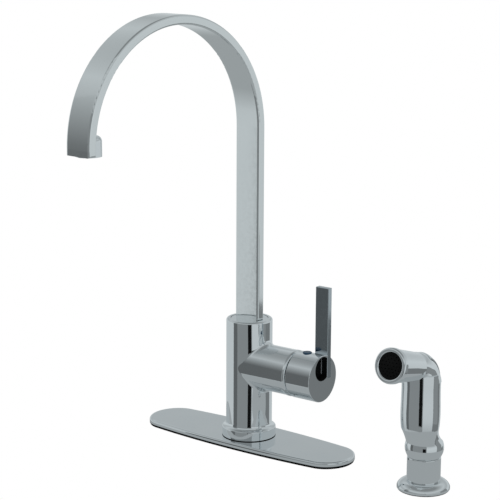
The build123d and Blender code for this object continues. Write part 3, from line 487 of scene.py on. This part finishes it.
def sweep_floor():
    """A pale floor that curves up all round into a backdrop."""
    bend = 1.0 - FLOOR_FLAT
    profile = [(FLOOR_RADIUS * FLOOR_MIDDLE, 0.0), (FLOOR_RADIUS * FLOOR_FLAT, 0.0)]
    profile += [(FLOOR_RADIUS * (FLOOR_FLAT + bend * sin(radians(angle))),
                 FLOOR_RADIUS * bend * (1 - cos(radians(angle)))) for angle in range(15, 91, 15)]
    profile.append((FLOOR_RADIUS, FLOOR_RADIUS * BACKDROP_TOP))
    points = [(0.0, 0.0, FLOOR_LEVEL)]
    for radius, height in profile:
        for step in range(SWEEP_STEPS):
            turn = radians(360.0 * step / SWEEP_STEPS)
            points.append((radius * cos(turn), radius * sin(turn), FLOOR_LEVEL + height))
    faces = []
    for step in range(SWEEP_STEPS):
        after = (step + 1) % SWEEP_STEPS
        faces.append((0, 1 + step, 1 + after))
        for row in range(len(profile) - 1):
            low = 1 + row * SWEEP_STEPS
            high = low + SWEEP_STEPS
            faces.append((low + step, high + step, high + after, low + after))
    return make_object("floor", points, faces)


floor = sweep_floor()
dress(floor, glow_material("floor_white", (1.0, 1.0, 1.0), 1.0))
floor.visible_glossy = False
floor.visible_diffuse = False
floor.visible_shadow = False

# The table's top, as the low parts mirror it: an oblong round the plate and a disc round the holder.
TABLE_GLOW = 0.3
TABLE_MARGIN = 0.027
TABLE_STEPS = 48
TABLE_LEVEL = -0.0003
MAT_RADIUS = 0.125
MAT_LEVEL = -0.00042


def table_card(name, centres, radius, level):
    """A flat card with round ends about one or two centres."""
    points = []
    for step in range(TABLE_STEPS):
        angle = radians(360.0 * step / TABLE_STEPS)
        centre = centres[0] if cos(angle) >= 0 else centres[-1]
        points.append((centre[0] + radius * cos(angle), centre[1] + radius * sin(angle), level))
    card = make_object(name, points, [tuple(range(TABLE_STEPS))], smooth=False)
    dress(card, glow_material(name + "_glow", tinted(TABLE_GLOW), STUDIO_GLOW))
    only_mirrored(card)


plate_low, plate_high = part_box("deck_plate")
holder_low, holder_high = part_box("spray_holder")
plate_half = (plate_high[1] - plate_low[1]) / 2
table_card("table_card", [(plate_high[0] - plate_half, 0.0), (plate_low[0] + plate_half, 0.0)],
           plate_half + TABLE_MARGIN, TABLE_LEVEL)
table_card("mat_card", [((holder_low[0] + holder_high[0]) / 2, (holder_low[1] + holder_high[1]) / 2)],
           MAT_RADIUS, MAT_LEVEL)


def place_on(distance, turn, centre=(0.0, 0.0)):
    """The plan point at a distance from a centre, in a direction in degrees from -Y towards +X."""
    return (centre[0] + distance * sin(radians(turn)), centre[1] - distance * cos(radians(turn)))


def upright_card(name, route, rise, tone, fade=None):
    """An upright card of one tone along a route in plan. A fade is (height, tone): from there it changes
    evenly to that tone at the card's top."""
    points = [(*place, height) for place in route for height in rise]
    faces = [(2 * index, 2 * index + 2, 2 * index + 3, 2 * index + 1) for index in range(len(route) - 1)]
    card = make_object(name, points, faces, smooth=False)
    material = glow_material(name + "_tone", tinted(tone), STUDIO_GLOW)
    if fade is not None:
        start, top_tone = fade
        tree = material.node_tree
        height = tree.nodes.new("ShaderNodeSeparateXYZ")
        tree.links.new(tree.nodes.new("ShaderNodeTexCoord").outputs["Object"], height.inputs[0])
        share = tree.nodes.new("ShaderNodeMapRange")
        share.inputs["From Min"].default_value = start
        share.inputs["From Max"].default_value = rise[1]
        tree.links.new(height.outputs["Z"], share.inputs["Value"])
        ramp = tree.nodes.new("ShaderNodeValToRGB")
        fill_ramp(ramp, ((0.0, tone), (1.0, top_tone)))
        tree.links.new(share.outputs["Result"], ramp.inputs["Fac"])
        tree.links.new(ramp.outputs["Color"], tree.nodes["Emission"].inputs["Color"])
    dress(card, material)
    only_mirrored(card)


def arc(distance, start, end, steps, centre=(0.0, 0.0)):
    """Plan points round a centre, by degrees from -Y towards +X."""
    return [place_on(distance, start + (end - start) * step / steps, centre) for step in range(steps + 1)]


# The dim side of the room, where the camera stands.
upright_card("room_card", arc(1.7, start=-40.0, end=50.0, steps=12), rise=(-0.9, 0.75), tone=0.2)

# A dark flag to the left of the camera, which fades into the room at its top.
upright_card("flag_card", arc(0.7, start=-46.0, end=-24.0, steps=1), rise=(-0.35, 0.7), tone=0.1,
             fade=(0.2, 0.4))

# The dark gap that the camera looks through.
upright_card("camera_gap", arc(1.5, start=30.0, end=47.0, steps=2), rise=(-0.56, 0.15), tone=0.005)

# A dim low wall behind the part and to its right.
upright_card("low_wall", arc(1.2, start=105.0, end=160.0, steps=8), rise=(-0.6, -0.15), tone=0.15)

# A grey card behind the sprayer and to its right.
sprayer_low, sprayer_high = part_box("spray_spigot")
sprayer_place = ((sprayer_low[0] + sprayer_high[0]) / 2, (sprayer_low[1] + sprayer_high[1]) / 2)
upright_card("side_card", arc(0.3, start=108.0, end=148.0, steps=4, centre=sprayer_place),
             rise=(-0.05, 0.12), tone=0.2)

# ---- surroundings ------------------------------------------------------------------------------
# A plain soft studio: grey by height alone, lightest round the horizon. Degrees above it, and tone.
STUDIO_TONES = ((-90, 0.3), (-35, 0.3), (-20, 0.45), (5, 0.5), (20, 0.35), (35, 0.45), (60, 0.2),
                (90, 0.2))


def build_world():
    """Surroundings that the polished parts mirror: walls, ceiling and floor of a studio."""
    world = bpy.data.worlds.new("studio")
    bpy.context.scene.world = world
    world.use_nodes = True
    tree = world.node_tree
    tree.nodes.clear()
    new = tree.nodes.new
    direction = new("ShaderNodeTexCoord").outputs["Generated"]
    parts = new("ShaderNodeSeparateXYZ")
    tree.links.new(direction, parts.inputs[0])
    rise = new("ShaderNodeMath")
    rise.operation = "ARCSINE"
    tree.links.new(parts.outputs["Z"], rise.inputs[0])
    share = new("ShaderNodeMapRange")
    share.inputs["From Min"].default_value = -pi / 2
    share.inputs["From Max"].default_value = pi / 2
    tree.links.new(rise.outputs[0], share.inputs["Value"])
    ramp = new("ShaderNodeValToRGB")
    fill_ramp(ramp, [((angle + 90) / 180, tone) for angle, tone in STUDIO_TONES])
    tree.links.new(share.outputs["Result"], ramp.inputs["Fac"])
    background = new("ShaderNodeBackground")
    background.inputs["Strength"].default_value = STUDIO_GLOW
    tree.links.new(ramp.outputs["Color"], background.inputs["Color"])
    output = new("ShaderNodeOutputWorld")
    tree.links.new(background.outputs[0], output.inputs["Surface"])


build_world()


def area_light(name, place, target, size, power):
    """A soft light that doesn't show as a hard patch in the polished parts."""
    data = bpy.data.lights.new(name, "AREA")
    data.shape = "RECTANGLE"
    data.size, data.size_y = size
    data.energy = power
    light = bpy.data.objects.new(name, data)
    light.location = place
    light.rotation_euler = (Vector(target) - Vector(place)).to_track_quat("-Z", "Y").to_euler()
    light.visible_glossy = False
    bpy.context.scene.collection.objects.link(light)


MIDDLE = (0.05, -0.05, 0.2)
area_light("key", place=(-0.9, -1.3, 1.5), target=MIDDLE, size=(1.2, 1.2), power=26.0)
area_light("fill", place=(1.5, -0.7, 1.0), target=MIDDLE, size=(1.0, 1.4), power=14.0)

# ---- camera ------------------------------------------------------------------------------------
CAMERA_PLACE = (0.9576, -1.2325, 0.5243)
CAMERA_TURN = 37.84    # degrees round Z from -Y towards +X
CAMERA_PITCH = -11.99
CAMERA_ROLL = 0.29
CAMERA_LENS = 118.67
CAMERA_SENSOR = 36.0
CAMERA_REACH = 60.0    # beyond the backdrop

turn, pitch, roll = radians(CAMERA_TURN), radians(CAMERA_PITCH), radians(CAMERA_ROLL)
level_right = Vector((cos(turn), sin(turn), 0.0))
forward = Vector((-sin(turn) * cos(pitch), cos(turn) * cos(pitch), sin(pitch)))
level_up = level_right.cross(forward)
right = level_right * cos(roll) + level_up * sin(roll)
up = level_up * cos(roll) - level_right * sin(roll)
camera_data = bpy.data.cameras.new("camera")
camera_data.lens = CAMERA_LENS
camera_data.sensor_width = CAMERA_SENSOR
camera_data.sensor_fit = "HORIZONTAL"
camera_data.clip_end = CAMERA_REACH
camera = bpy.data.objects.new("camera", camera_data)
camera.matrix_world = Matrix((
    (right.x, up.x, -forward.x, CAMERA_PLACE[0]),
    (right.y, up.y, -forward.y, CAMERA_PLACE[1]),
    (right.z, up.z, -forward.z, CAMERA_PLACE[2]),
    (0.0, 0.0, 0.0, 1.0),
))
bpy.context.scene.collection.objects.link(camera)
bpy.context.scene.camera = camera
bpy.context.scene.view_settings.view_transform = "Standard"
